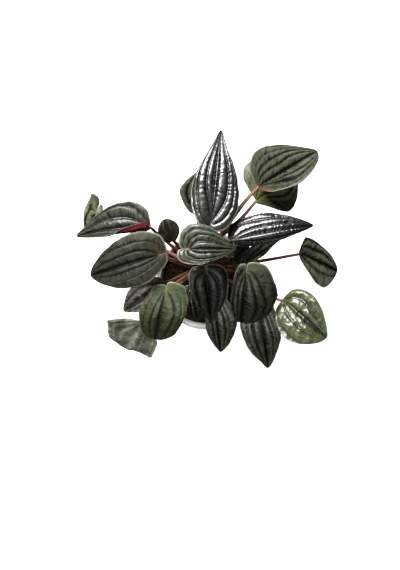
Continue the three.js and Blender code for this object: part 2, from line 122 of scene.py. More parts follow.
LEAVES = (
    grow("tall", "dark", base=(3, 38.8, 140), tip=(10.1, 103.9, 128), rise=6, fall=12, width=(16, 17.8),
         lobe=(6, 6.5), fold=(15, 15), curl=(40, 40), widest=(0.3, 0.25), shoulder=(0.85, 0.75),
         point=(1.3, 1.35), crease=0.3, outer=0.5, deep=1.7, lumps=0.18),
    grow("behind_tall", "olive", base=(-5.9, 49.3, 112), tip=(-1, 80, 116), rise=15, fall=30, ridge=0.9,
         width=(15, 10), lobe=(3, 3), curl=(40, 40), widest=(0.4, 0.37), shoulder=(0.8, 0.8),
         point=(1.2, 0.9), shade=1.95),
    grow("right_top", "olive", base=(36.4, 64.7, 126), tip=(75.9, 88.2, 138), rise=5, fall=25, open=0.5,
         bands=4, width=(22.5, 17), lobe=(0, 0), fold=(0, 48), curl=(20, -10), widest=(0.27, 0.5),
         shoulder=(0.5, 0.8), point=(1, 0.6), crease=0.12, shade=1.65, outer=0.4, deep=1.4, blush=0.9,
         stout=1.9, stalk="tan", start=STEM_FORK, via=((21, 47, 116), (30.2, 58.5, 122))),
    grow("right_under", "olive", base=(35.8, 56.4, 112), tip=(65, 77.2, 108), rise=15, fall=25, ridge=0.9,
         width=(26, 20), lobe=(0, 2), fold=(10, 10), widest=(0.35, 0.42), shoulder=(0.45, 1.4),
         point=(0.8, 1.1), crease=0.2, shade=4.5, outer=0.4, lime=(0.9, 0), stout=1.9, stalk="rose",
         start=STEM_FORK, via=((23, 42, 104),)),
    grow("right_glossy", "dark", base=(19.1, 27.5, 132), tip=(74.3, 37.6, 130), rise=8, fall=15,
         width=(16.5, 10.3), lobe=(4, 1), fold=(-12, -38), curl=(25, 35), widest=(0.35, 0.3),
         shoulder=(0.5, 0.7), crease=0.38, outer=0.3, deep=1.7, lumps=0.18),
    grow("right_small", "silver", base=(29.4, 12, 108), tip=(52.6, 28.8, 114), rise=15, bands=2, ridge=0.8,
         width=(9, 5), lobe=(3, 1), fold=(30, 70), curl=(10, 10), widest=(0.38, 0.3), shade=2.8),
    grow("far_right", "olive", base=(67.6, 18.4, 108), tip=(95.8, 6.9, 94), rise=15, open=0.5, bands=2,
         width=(13.4, 15.8), lobe=(2, 1), fold=(5, 20), curl=(25, 25), widest=(0.03, 0.72),
         shoulder=(0.3, 0.9), point=(0.8, 0.6), crease=0.12, shade=2.7, soft=0.7, blush=0.9, stalk="rose",
         via=((38.7, 13.6, 98),)),
    grow("lower_right", "green", base=(56.2, -15, 102), tip=(86.1, -41.5, 110), fall=25, bands=2, ridge=1.1,
         width=(16.5, 20), lobe=(1, 1), fold=(15, 15), curl=(25, 25), widest=(0.3, 0.45),
         shoulder=(0.6, 0.7), point=(0.9, 0.65), shade=1.1, ruffle=1.5, lumps=0.8, lime=(0.3, 0.3),
         stalk="rose"),
    grow("lower_dark", "silver", base=(27.6, 4.6, 128), tip=(24.2, -30.7, 98), rise=30, fall=25,
         width=(27, 9), lobe=(7.5, 6), fold=(10, 10), curl=(60, 30), widest=(0.47, 0.3),
         shoulder=(0.6, 0.6), point=(0.4, 0.7), shade=0.97, soft=0.6, deep=1.3),
    grow("lower_centre", "silver", base=(-0.7, 5.9, 132), tip=(3.6, -31.7, 106), rise=22, fall=8, bands=2,
         ridge=1.1, width=(15.5, 12.5), lobe=(4.5, 4.5), curl=(40, 40), widest=(0.2, 0.18),
         shoulder=(0.6, 0.6), point=(1.4, 1.4), crease=0.36, shade=0.58),
    grow("central", "silver", base=(-11.9, 20.4, 152), tip=(20.1, 20.5, 149), rise=15, bands=4, ridge=0.9,
         width=(17.3, 10.5), lobe=(7, 8), fold=(5, 20), curl=(20, 30), widest=(0.22, 0.2), point=(1.4, 1.1),
         crease=0.18, shade=0.84, outer=0.6, deep=1.5),
    grow("small_brown", "brown", base=(-24.3, 27.7, 118), tip=(-29.7, 42.4, 121), fall=30, bands=2,
         ridge=0.6, width=(7.5, 8), lobe=(1, 1), widest=(0.5, 0.5), point=(0.6, 0.6), crease=0.06,
         shade=0.62, soft=0.6, stalk="russet"),
    grow("left_big", "olive", base=(-32.6, 17, 130), tip=(-81.3, 2.9, 122), fall=25, width=(17, 20),
         lobe=(5, 6), fold=(12, 12), widest=(0.38, 0.28), shoulder=(0.8, 0.6), point=(0.75, 0.8),
         crease=0.14, shade=0.8, soft=0.5, outer=0.3, deep=1.3, stout=2.2, stalk="tan"),
    grow("upper_left", "silver", base=(-40.2, 37.7, 113), tip=(-93.6, 31.3, 102), rise=18, fall=18,
         bend=-1.7, open=0.66, width=(14.1, 18.6), lobe=(-0.3, 0.3), fold=(26.3, -7.6), curl=(-175.9, -6.3),
         widest=(0.03, 0.28), shoulder=(0.49, 0.58), point=(1.18, 1.23), crease=0.35, shade=0.72, outer=0.6,
         deep=1.4, stalk="russet"),
    grow("far_left", "pale", base=(-80.4, 48.4, 96), tip=(-88.6, 32.2, 86.5), rise=25, fall=25, bend=0.4,
         open=0.16, bands=2, ridge=0.8, width=(6.7, 10), lobe=(7.4, 11.8), fold=(-15.6, 26.9),
         curl=(-90.9, -15.8), widest=(0.43, 0.08), shoulder=(0.72, 0.48), point=(1.27, 1.97), shade=1.1,
         ruffle=2, lumps=0.5, lime=(0.3, 0.2), stalk="rose"),
    grow("left_under", "dusky", base=(-30.85, -3.1, 112), tip=(-59.7, -22.7, 100), rise=25, bands=2,
         ridge=0.9, width=(10, 12), lobe=(2, 2), widest=(0.38, 0.38), crease=0.2, shade=2.5, stalk="tan"),
    grow("lower_left", "green", base=(-29.1, -8.4, 122), tip=(-37.3, -43.6, 88), rise=35, fall=25,
         width=(18, 15), lobe=(7, 4), fold=(10, 10), curl=(35, 35), widest=(0.25, 0.4), shoulder=(0.5, 0.6),
         point=(0.7, 0.5), crease=0.2, shade=1.2, soft=0.7, outer=0.4, lumps=0.45, stalk="tan"),
    grow("bottom_left", "faded", base=(-45.1, -25.8, 82), tip=(-61.2, -53.9, 46), fall=10, open=0.3,
         width=(20.2, 23.2), lobe=(0.4, -5.9), fold=(5, 5), curl=(-6.6, -7.9), widest=(0.68, 0.39),
         shoulder=(0.53, 1.45), point=(1.76, 0.49), crease=0.2, shade=1.27, soft=0.8, ruffle=3.5, lumps=0.6,
         stalk="russet"),
    grow("under_centre", "dark", base=(5.3, -11.8, 94), tip=(11, -54.3, 68), rise=30, fall=15, ridge=0.9,
         width=(14.5, 8.5), lobe=(4, 4), fold=(15, 15), curl=(35, 35), widest=(0.42, 0.42), crease=0.3,
         shade=6.5, outer=0.5, lumps=0.4),
    grow("under_right", "dark", base=(38.5, -14.9, 84), tip=(47.9, -67.5, 54), rise=30, ridge=1.1,
         width=(13, 16.5), lobe=(4, 4), curl=(40, 40), widest=(0.35, 0.3), point=(1, 1.2), crease=0.35,
         shade=7, outer=0.5),
    grow("hidden_dark", "dark", base=(-11, -7.4, 108), tip=(-6, -29.5, 92), rise=25, ridge=0.8,
         width=(9, 8.5), lobe=(4, 4), point=(0.9, 0.9), crease=0.3, shade=2.5, lumps=0.4),
    grow("young_curl", "silver", base=(10.9, 20, 124), tip=(19.8, 16.3, 120), bands=2, ridge=0.3,
         width=(3, 3), lobe=(0.5, 0.5), fold=(30, 30), curl=(20, 20), point=(0.9, 0.9), crease=0.04),
    grow("young_shade", "olive", base=(17.9, 12.8, 102), tip=(31.3, 26.3, 107), bands=2, ridge=0.5,
         width=(6, 6), lobe=(1, 1), fold=(25, 25), curl=(20, 20), point=(0.9, 0.9), crease=0.08),
)


# ---- Settings ----
def colour_property(name, description, default):
    return FloatVectorProperty(name=name, description=description, subtype="COLOR", size=3, min=0, max=1,
                               default=default)


def length_property(name, description, default, low, high):
    """A length in millimetres."""
    return FloatProperty(name=name, description=description, default=default * MM, min=low * MM,
                         max=high * MM, unit="LENGTH")


class PEPEROMIA_PG_pot(bpy.types.PropertyGroup):
    glaze: colour_property("Glaze", "Colour of the glaze", (0.96, 0.955, 0.94))
    wall: length_property("Wall", "Thickness of the pot's wall", 3.2, 1, 8)
    floor: length_property("Floor", "Thickness of the pot's floor", 4, 2, 10)
    foot_radius: length_property("Foot radius", "Radius of the pot's flat foot", 27, 15, 36)
    sides: IntProperty(name="Sides", description="Steps round the pot", default=144, min=48, max=256)


class PEPEROMIA_PG_soil(bpy.types.PropertyGroup):
    damp: colour_property("Damp soil", "Colour of the soil in its hollows", (0.004, 0.0022, 0.0015))
    dry: colour_property("Dry soil", "Colour of the soil's dry crumbs", (0.03, 0.015, 0.007))
    crumbs: IntProperty(name="Crumbs", description="Loose crumbs on the soil", default=420, min=0, max=2000)
    seed: IntProperty(name="Seed", description="Start of the crumbs' random places", default=7, min=0)


class PEPEROMIA_PG_stems(bpy.types.PropertyGroup):
    tan: colour_property("Tan stem", "Colour of the stout petioles", (0.27, 0.14, 0.085))
    rose: colour_property("Rose stem", "Colour of the slim outer petioles", (0.36, 0.14, 0.12))
    russet: colour_property("Russet stem", "Colour of the slim petioles on the left", (0.14, 0.048, 0.032))
    # About half as light as the russet of the outer petioles: partly the petioles' own maroon, partly painted
    # shade for the plant's shaded middle
    maroon: colour_property("Maroon stem", "Colour of the petioles in the middle", (0.075, 0.024, 0.016))
    sides: IntProperty(name="Roundness", description="Steps in a quarter of a petiole's section", default=4,
                       min=1, max=8)


class PEPEROMIA_PG_leaves(bpy.types.PropertyGroup):
    dark: colour_property("Dark blade", "Ridges of the darkest leaves", (0.013, 0.015, 0.01))
    olive: colour_property("Olive blade", "Ridges of the olive leaves", (0.029, 0.032, 0.02))
    green: colour_property("Green blade", "Ridges of the green leaves", (0.051, 0.065, 0.029))
    silver: colour_property("Silver blade", "Ridges of the silvery leaves", (0.052, 0.059, 0.037))
    pale: colour_property("Pale blade", "Ridges of the pale old leaves", (0.15, 0.17, 0.105))
    faded: colour_property("Faded blade", "Ridges of the oldest, pale-veined leaf", (0.12, 0.13, 0.095))
    dusky: colour_property("Dusky blade", "Ridges of the reddish silvery leaf", (0.1, 0.088, 0.072))
    brown: colour_property("Brown blade", "Ridges of the young brown leaf", (0.022, 0.017, 0.009))
    underside: colour_property("Underside", "Colour of the blades' undersides", (0.15, 0.018, 0.028))
    margin: colour_property("Margin", "Colour of the blades' thin edges", (0.26, 0.27, 0.2))
    step: length_property("Step", "Length of a mesh step along a blade", 0.32, 0.2, 2)
    ridge_steps: IntProperty(name="Ridge steps", description="Mesh steps across a ridge", default=14,
                             min=4, max=24)


class PEPEROMIA_PG_stage(bpy.types.PropertyGroup):
    camera: FloatVectorProperty(name="Camera", description="Place of the camera, which looks straight down",
                                subtype="TRANSLATION", unit="LENGTH", size=3,
                                default=(-4.5 * MM, -3.8 * MM, 825 * MM))
    lens: FloatProperty(name="Lens", description="Focal length on a 36 mm sensor", default=63.16, min=20,
                        max=200, unit="CAMERA")
    floor: colour_property("Floor", "Colour of the floor", (0.92, 0.92, 0.92))


# ---- Small helpers ----
def deselect():
    for item in bpy.context.selected_objects:
        item.select_set(False)


def only(piece):
    deselect()
    piece.select_set(True)
    bpy.context.view_layer.objects.active = piece


def new_piece(name):
    """The object that an operator has just added, under its own name."""
    piece = bpy.context.object
    piece.name = name
    piece.data.name = name
    only(piece)
    return piece


def coordinates(piece):
    places = np.zeros(len(piece.data.vertices) * 3)
    piece.data.vertices.foreach_get("co", places)
    return places.reshape(-1, 3)


def move_to(piece, places):
    piece.data.vertices.foreach_set("co", np.asarray(places, float).ravel())
    piece.data.update()


def paint(piece, name, values):
    """Stores one number for each vertex, for the materials to read."""
    layer = piece.data.attributes.new(name, "FLOAT", "POINT")
    layer.data.foreach_set("value", np.asarray(values, np.float32))


def painted(piece, name):
    values = np.zeros(len(piece.data.vertices), np.float32)
    piece.data.attributes[name].data.foreach_get("value", values)
    return values.astype(float)


def in_edit_mode(piece, select):
    """Opens edit mode with the vertices selected that the test picks by their place."""
    only(piece)
    bpy.ops.object.mode_set(mode="EDIT")
    mesh = bmesh.from_edit_mesh(piece.data)
    for vertex in mesh.verts:
        vertex.select_set(bool(select(vertex)))
    mesh.select_flush(True)
    mesh.select_flush(False)
    bmesh.update_edit_mesh(piece.data)


def leave_edit_mode():
    bpy.ops.object.mode_set(mode="OBJECT")


def finish_piece(piece, slot, materials, *nodes):
    """Gives a piece its materials and its body, and lets it stand for its CAD nodes."""
    for material in materials:
        piece.data.materials.append(material)
    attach(piece, "root")
    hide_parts(*nodes)


def smoothstep(value, low, high):
    x = np.clip((value - low) / (high - low), 0, 1)
    return x * x * (3 - 2 * x)


# ---- Material helpers ----
class Nodes:
    """A material's node tree, with short ways to add the nodes that the finishes here use."""

    def __init__(self, name):
        self.material = bpy.data.materials.new(name)
        self.material.use_nodes = True
        self.tree = self.material.node_tree
        self.shader = self.tree.nodes["Principled BSDF"]

    def node(self, kind, output, inputs, **values):
        """Adds a node with these inputs and values, and gives one of its outputs."""
        node = self.tree.nodes.new(kind)
        for name, value in values.items():
            setattr(node, name, value)
        for name, value in inputs.items():
            self.put(node.inputs[name], value)
        return node.outputs[output]

    def put(self, socket, value):
        """Links a socket to another node's output, or sets it to a number, vector or colour."""
        if isinstance(value, bpy.types.NodeSocket):
            self.tree.links.new(value, socket)
        elif isinstance(value, (int, float)):
            socket.default_value = value
        else:
            socket.default_value = (*value, 1)[:len(socket.default_value)]

    def set(self, **values):
        """Puts each value on the shader's socket of that name, with spaces for its underscores."""
        for name, value in values.items():
            self.put(self.shader.inputs[name.replace("_", " ")], value)

    def place(self):
        return self.node("ShaderNodeTexCoord", "Object", {})

    def stored(self, name):
        return self.node("ShaderNodeAttribute", "Fac", {}, attribute_name=name)

    def noise(self, scale, detail=3, roughness=0.5, place=None):
        """Cloudy noise with `scale` lumps to a metre."""
        place = self.place() if place is None else place
        return self.node("ShaderNodeTexNoise", "Fac", {
            "Scale": scale, "Detail": detail, "Roughness": roughness, "Vector": place})

    def streaks(self, scale, stretch):
        """Noise scaled along each axis."""
        return self.noise(scale, place=self.node("ShaderNodeMapping", "Vector", {
            "Vector": self.place(), "Scale": stretch}))

    def slanted(self, along, across):
        """Noise drawn out along the blade's slanted creases: lumps to a millimetre, and to a ridge."""
        return self.noise(1, place=self.node("ShaderNodeCombineXYZ", "Vector", {
            "X": self.math("MULTIPLY", self.stored("run"), along),
            "Y": self.math("MULTIPLY", self.stored("row"), across)}))

    def cells(self, scale):
        return self.node("ShaderNodeTexVoronoi", "Distance", {"Scale": scale, "Vector": self.place()})

    def between(self, value, low, high, out_low=0.0, out_high=1.0):
        """The value's way from low to high, as a number from out_low to out_high."""
        return self.node("ShaderNodeMapRange", "Result", {
            "Value": value, "From Min": low, "From Max": high,
            "To Min": out_low, "To Max": out_high}, clamp=True)

    def math(self, operation, a, b):
        return self.node("ShaderNodeMath", "Value", {0: a, 1: b}, operation=operation)

    def mix(self, share, a, b, blend="MIX"):
        """Two colours mixed by a share: each is a value or another node's output."""
        return self.node("ShaderNodeMix", 2, {"Factor": share, 6: a, 7: b},
                         data_type="RGBA", blend_type=blend)

    def bump(self, height, strength, distance):
        self.set(Normal=self.node("ShaderNodeBump", "Normal", {
            "Height": height, "Strength": strength, "Distance": distance}))


def times(colour, share):
    return tuple(min(1.0, c * share) for c in colour)


# ---- Materials ----
FIBRE = (0.3, 0.22, 0.13)
FRESH_GREEN = (0.12, 0.16, 0.025)
BLUSH_RED = (0.2, 0.035, 0.035)
DRY_TIP = (0.03, 0.018, 0.01)
VEIN_PINK = (0.24, 0.075, 0.055)
RIM_WIDTH = 0.035


def glaze_material(colour):
    """White glaze: a clear coat over a slightly uneven, faintly speckled body."""
    finish = Nodes("white_glaze")
    tint = finish.mix(finish.between(finish.noise(25, detail=4), 0.3, 0.7), times(colour, 0.95), colour)
    specks = finish.between(finish.cells(900), 0.05, 0.09)
    finish.set(Base_Color=finish.mix(specks, times(colour, 0.72), tint),
               Roughness=finish.between(finish.noise(60), 0.3, 0.7, 0.16, 0.24),
               Coat_Weight=0.4, Coat_Roughness=0.06)
    finish.bump(finish.noise(40, detail=2), 0.15, 0.4 * MM)
    return finish.material


def soil_material(damp, dry):
    """Potting soil: damp dark peat with paler dry fibres and crumbs."""
    finish = Nodes("potting_soil")
    crumbs = finish.noise(500, detail=6, roughness=0.65)
    colour = finish.mix(finish.between(crumbs, 0.35, 0.7), damp, dry)
    finish.set(Base_Color=finish.mix(finish.between(finish.stored("pale"), 0, 1), colour, FIBRE),
               Roughness=0.9, Specular_IOR_Level=0.1)
    finish.bump(crumbs, 0.7, 0.4 * MM)
    return finish.material


def stem_material(tone, colour, lightening):
    """Smooth, fleshy stem: it turns lighter along its way, with fine streaks and small dark freckles."""
    finish = Nodes(f"stem_{tone}")
    streaks = finish.streaks(900, (1, 1, 0.15))
    surface = finish.mix(finish.stored("along"), colour, times(colour, lightening))
    surface = finish.mix(finish.between(streaks, 0.35, 0.7, 0, 0.45), surface, times(colour, 1.7))
    freckles = finish.between(finish.cells(700), 0.12, 0.2)
    finish.set(Base_Color=finish.mix(freckles, times(colour, 0.45), surface), Roughness=0.33,
               Specular_IOR_Level=0.5, Subsurface_Weight=0.12, Subsurface_Scale=1.5 * MM,
               Subsurface_Radius=(1, 0.35, 0.2))
    finish.bump(streaks, 0.25, 0.3 * MM)
    return finish.material


def blade_material(tone, colour, look):
    """A blade's top, with painted light: its veins and creases are painted dark as painted shade, its ridges'
    crests painted lighter and speckled as a painted silvery sheen, and fine slanted wrinkles painted as lighter
    and darker streaks.
    """
    finish = Nodes(f"blade_{tone}")
    ahead = finish.stored("ahead")
    mottle = finish.noise(220, detail=5, roughness=0.6)
    frost = finish.noise(800, detail=4, roughness=0.65)
    # Fine slanted wrinkles that only the colour gets: painted shade and painted light in streaks
    wrinkles = finish.between(finish.slanted(0.5, 1.0), 0.3, 0.7, -0.25, 0.2)
    # Lift: ridge height with mottle and wrinkles, less the creases; low lift gets the painted shade of veins
    # and creases, high lift the painted sheen of the crests
    lift = finish.math("ADD", finish.stored("crest"), finish.between(mottle, 0.3, 0.7, -0.06, 0.06))
    lift = finish.math("ADD", lift, wrinkles)
    # Creases made darker: painted shade in the creases
    lift = finish.math("SUBTRACT", lift, finish.math("MULTIPLY", finish.stored("crease"), look["crease_shade"]))
    # Pale specks on the higher ridges: a painted silvery sheen
    sheen_specks = finish.math("MULTIPLY", finish.between(frost, 0.52, 0.68),
                          finish.between(lift, 0.5, 0.95, 0, 0.75))
    fresh = finish.math("MULTIPLY", finish.stored("lime"), finish.between(lift, 0.1, 0.9, 0.4, 1))
    rim = finish.between(finish.stored("edge"), look["rim"], look["rim"] + RIM_WIDTH, 0, 0.75)
    # Veins' colour: on most tones far darker than the ridges, painted shade in the grooves; the faded tone's
    # pale veins are its own colour
    surface = times(colour, look["vein"])
    for share, over, *blend in (
            # The first two layers lift the colour from the painted shade of the veins to the painted sheen of
            # the crests
            (finish.between(lift, 0.35, 0.95), times(colour, 0.95)),
            (finish.between(lift, 0.7, 1.1), times(colour, 1.5)),
            (sheen_specks, times(colour, 2.5)),
            (finish.between(finish.noise(90, detail=2), 0.45, 0.62, 0, 0.7), look["patch"], "MULTIPLY"),
            # Each leaf's colour factor: partly its own lightness, partly painted light on leaves in others'
            # shade
            (1.0, finish.stored("shade"), "MULTIPLY"),
            (fresh, FRESH_GREEN),
            (finish.between(ahead, 0.0, 0.06, 0.8, 0), look["spot"]),
            (rim, look["margin"]),
            (finish.stored("blush"), BLUSH_RED),
            (finish.between(ahead, 0.98, 0.995, 0, 0.8), DRY_TIP)):
        surface = finish.mix(share, surface, over, *blend)
    finish.set(Base_Color=surface, Specular_IOR_Level=look["gleam"],
               Roughness=finish.between(mottle, 0.3, 0.7, look["roughness"], look["roughness"] + 0.08))
    finish.bump(frost, 0.6 * look["grain"], 0.25 * MM)
    return finish.material


def underside_material(colour):
    """A blade's underside: wine red, paler along its raised veins, softly shining."""
    finish = Nodes("blade_underside")
    mottle = finish.between(finish.noise(260, detail=4), 0.3, 0.7)
    veins = finish.between(finish.stored("crest"), 0.0, 0.3, 0.6, 0)
    surface = finish.mix(mottle, times(colour, 0.6), times(colour, 1.25))
    finish.set(Base_Color=finish.mix(veins, surface, VEIN_PINK), Roughness=0.42, Specular_IOR_Level=0.5)
    finish.bump(finish.noise(1800, detail=2), 0.25, 0.12 * MM)
    return finish.material


# ---- Leaf blades ----
def unit(vectors):
    return vectors / np.linalg.norm(vectors, axis=-1, keepdims=True)


def dot(a, b):
    return np.sum(a * b, axis=-1, keepdims=True)


def blade_axes(leaf):
    """A blade's base, the length of the line from it to the tip, and that line's own ahead, up and left."""
    base = np.array(leaf["base"], float)
    chord = np.array(leaf["tip"], float) - base
    length = np.linalg.norm(chord)
    ahead = chord / length
    up = unit(np.array((0, 0, 1.0)) - ahead * ahead[2])
    return base, length, ahead, up, np.cross(up, ahead)


def midrib(leaf, along):
    """The midrib's points at these distances along the line, and its directions there."""
    base, length, ahead, up, left = blade_axes(leaf)
    k = np.maximum(0, along / length)[:, None]
    rise = math.tan(math.radians(leaf["rise"]))
    fall = math.tan(math.radians(leaf["fall"]))
    height = length * (rise * k * (1 - k) ** 2 + fall * k * k * (1 - k))
    sideways = leaf["bend"] * 4 * k * (1 - k)
    slope = rise * (1 - k) * (1 - 3 * k) + fall * k * (2 - 3 * k)
    drift = leaf["bend"] * 4 * (1 - 2 * k) / length
    direction = ahead + up * slope + left * drift
    point = base + ahead * k * length + up * height + left * sideways
    point = point + direction * np.minimum(0, along)[:, None]
    return point, unit(direction)


def blade_point(leaf, along, across):
    """Points of the smooth blade, `along` the midrib and `across` it, left positive."""
    _, length, _, axis_up, _ = blade_axes(leaf)
    point, direction = midrib(leaf, along)
    up = unit(axis_up - direction * dot(direction, axis_up[None, :]))
    left = np.cross(up, direction)
    on_left = across >= 0
    opening = 1 - leaf["open"] * np.clip(along / length, 0, 1)
    fold = np.radians(np.where(on_left, *leaf["fold"])) * opening
    bending = np.radians(np.where(on_left, *leaf["curl"])) * opening / np.where(on_left, *leaf["width"])
    reach = np.abs(across)
    out = (np.sin(fold) - np.sin(fold - bending * reach)) / bending
    lift = (np.cos(fold - bending * reach) - np.cos(fold)) / bending
    return point + left * np.where(on_left, out, -out)[:, None] + up * lift[:, None]


def blade_normal(leaf, along, across):
    ahead = blade_point(leaf, along + NORMAL_STEP, across) - blade_point(leaf, along - NORMAL_STEP, across)
    left = blade_point(leaf, along, across + NORMAL_STEP) - blade_point(leaf, along, across - NORMAL_STEP)
    return unit(np.cross(ahead, left))


def vein_place(leaf, s, t):
    """Where a vein runs on the flat blade: s is 0 on the midrib and 1 or -1 on the edge, and t goes from 0
    at the base, round the lobe, to 1 at the tip."""
    length = blade_axes(leaf)[1]
    on_left = s >= 0
    share = np.abs(s)
    reach = t ** EDGE_PACE
    widest = np.where(on_left, *leaf["widest"])
    before = np.sin(np.pi / 2 * np.minimum(1, reach / widest) ** np.where(on_left, *leaf["shoulder"]))
    beyond = np.clip((reach - widest) / (1 - widest), 0, 1)
    slim = np.maximum(0, np.cos(np.pi / 2 * beyond)) ** np.where(on_left, *leaf["point"])
    after = np.sqrt(slim ** 2 + TIP_BLUNTNESS * (1 - beyond) * beyond ** 4)
    swelling = np.where(reach < widest, before, after)
    closing = share ** SINUS_SHARPNESS * (1 - smoothstep(t, *SINUS))
    dip = t * (1 - t) ** DIP_POWER / DIP_PEAK
    edge = length * reach - (np.where(on_left, *leaf["lobe"]) + LOBE_SHARE * length) * dip
    along = length * t + share ** 2 * (edge - length * t)
    across = s * np.where(on_left, *leaf["width"]) * swelling * (1 - closing)
    return along, across, swelling


def ridge_swell(leaf, s, t, seed):
    """Each place's number of bands from the midrib, and its height: 0 in the veins and 1 on the ridges. The
    veins are unevenly spaced and wander. All but the midrib fade towards the tip, and the outer ones may be
    fainter."""
    side = np.where(s >= 0, 3.1, 7.7)
    place = np.abs(s) ** VEIN_SPREAD * leaf["bands"]
    wander = field(np.column_stack((place * 0.5, t * 2.2, side)), 1, seed)
    uneven = field(np.column_stack((place * 0.8, 0 * t, side)), 1, seed + UNEVEN)
    place = place + (VEIN_WANDER * wander + VEIN_UNEVENNESS * uneven) * smoothstep(place, 0, 0.9)
    swell = (np.sin(np.pi * place) ** 2 + 0.005) ** (RIDGE_FULLNESS / 2)
    strength = 0.85 + 0.5 * field(np.column_stack((np.round(place) * 1.37, 0 * t, side)), 1, seed + FAINT)
    outermost = place > leaf["bands"] - 1.5
    strength = np.clip(strength, FAINTEST_VEIN, 1) * np.where(outermost, leaf["outer"], 1)
    strength = np.where(place < 0.5, 1, strength)
    fading = TIP_FADING * smoothstep(t, 0.6, 0.97) * smoothstep(place, 0.35, 0.65)
    return place, 1 - (1 - swell) * (1 - fading) * strength


def field(points, size, seed):
    """Smooth noise from -1 to 1 whose lumps are about `size` mm wide."""
    shift = Vector([seed * step for step in SEED_STEPS])
    return np.array([noise.noise(Vector(p) / size + shift) for p in points])


def creases(leaf, s, t, points, seed):
    """The creases that leave the veins at a slant and cross the ridges towards the tip: each place's way
    along the blade, less the slant, its number of bands, and the crease there, from 0 to 1."""
    length = blade_axes(leaf)[1]
    on_left = s >= 0
    place = ridge_swell(leaf, s, t, seed)[0]
    within = place - np.floor(place)
    run = length * t - CREASE_SLANT * np.where(on_left, *leaf["width"]) / leaf["bands"] * place
    phase = run / CREASE_SPACING + CREASE_DRIFT * field(points, 7, seed) + np.where(on_left, 0.2, 0.7)
    strength = 0.15 + 0.85 * smoothstep(field(points, 6, seed + BROKEN), -0.35, 0.35)
    flank = smoothstep(within, 0, 0.08) * (1 - within) ** 1.3
    return run, place, (0.5 + 0.5 * np.cos(2 * np.pi * phase)) ** 2 * strength * flank


def blade_sheets(leaf, s, t, seed):
    """The blade's points at these vein places, its top before its underside, and how its creases run."""
    along, across, breadth = vein_place(leaf, s, t)
    share = np.abs(s)
    nicks = field(np.column_stack((along / NICK_SIZE, np.sign(s) * 3.3, 0 * t)), 1, seed + NICKS)
    across = across * (1 + NICK_SHARE * nicks * share ** 4)
    middle = blade_point(leaf, along, across)
    normal = blade_normal(leaf, along, across)
    swell = ridge_swell(leaf, s, t, seed)[1]
    wave = share ** 3 * np.sin(2 * np.pi * MARGIN_WAVES * t + leaf["tip"][0] + np.sign(s))
    fade = breadth ** RIDGE_FADE
    inside_edge = 1 - share ** 8
    ridges = RIDGE_DEPTH * leaf["ridge"] * leaf["soft"] * (swell - 0.5)
    relief = (ridges + MARGIN_WAVE * leaf["ruffle"] * wave) * fade
    half = BLADE_THICKNESS / 2 * (1 - 0.6 * share ** 14) * (1 - 0.5 * t ** 30)
    run, row, crease = creases(leaf, s, t, middle, seed)
    inner = row < 0.5
    width = np.where(inner, MIDRIB_GROOVE_WIDTH, GROOVE_WIDTH)
    groove = np.exp(-(((row - np.round(row)) / width) ** 2)) * inside_edge
    groove = groove * np.where(inner, MIDRIB_GROOVE_DEPTH, GROOVE_DEPTH) * leaf["deep"]
    dimples = DIMPLE_SHARE * field(middle, DIMPLE_SIZE, seed + DIMPLES)
    lumps = leaf["lumps"] * (field(middle, LUMP_SIZE, seed + LUMPS) + dimples)
    fine = (lumps - groove - leaf["crease"] * crease) * fade
    ribs = RIB_HEIGHT * np.exp(-((swell / RIB_WIDTH) ** 2)) * fade * inside_edge
    top = middle + normal * (relief + half + fine)[:, None]
    under = middle + normal * (relief - half - ribs + 0.5 * fine)[:, None]
    return np.concatenate((top, under)) * MM, run, row, crease


def build_leaf(leaf, seed, settings, materials):
    """A grid is added, its ends are merged to the base and the tip, it is given a second face and a rim,
    and its points then go to the blade's veins and ridges."""
    length = blade_axes(leaf)[1]
    columns = leaf["bands"] * 2 * settings.ridge_steps
    rows = max(24, int(length * MM / settings.step))
    bpy.ops.mesh.primitive_grid_add(x_subdivisions=columns, y_subdivisions=rows, size=2)
    piece = new_piece(f"blade_{leaf['name']}")
    for material in materials:
        piece.data.materials.append(material)
    places = coordinates(piece)
    forward = (places[:, 1] + 1) / 2
    paint(piece, "vein", -places[:, 0])
    paint(piece, "ahead", (1 - (1 - forward) ** 1.4) ** 0.85)
    for end in (-1, 1):
        in_edit_mode(piece, lambda vertex: abs(vertex.co.y - end) < 1e-4)
        bpy.ops.mesh.merge(type="CENTER")
        leave_edit_mode()
    shell = piece.modifiers.new("second face", "SOLIDIFY")
    shell.thickness = 0.01
    shell.offset = 0
    shell.material_offset = 1
    bpy.ops.object.modifier_apply(modifier=shell.name)
    s = painted(piece, "vein")
    t = painted(piece, "ahead")
    half = len(s) // 2
    places, *crease_values = blade_sheets(leaf, s[:half], t[:half], seed)
    move_to(piece, places)
    for name, values in zip(("run", "row", "crease"), crease_values):
        paint(piece, name, np.tile(values, 2))
    paint(piece, "crest", ridge_swell(leaf, s, t, seed)[1])
    paint(piece, "edge", np.abs(s))
    # The leaf's colour factor, partly painted light for leaves that lie in shade
    paint(piece, "shade", np.full(len(s), leaf["shade"]))
    near = np.linalg.norm(places / MM - leaf["base"], axis=1) / length
    by_base, by_edge = leaf["lime"]
    paint(piece, "lime", np.maximum(by_base * (1 - smoothstep(near, *LIME_REACH)),
                                    by_edge * smoothstep(np.abs(s), *LIME_EDGE)))
    paint(piece, "blush", leaf["blush"] * (1 - smoothstep(t, *BLUSH_REACH)) * smoothstep(-s, *BLUSH_EDGE))
    bpy.ops.object.shade_smooth()
    return piece


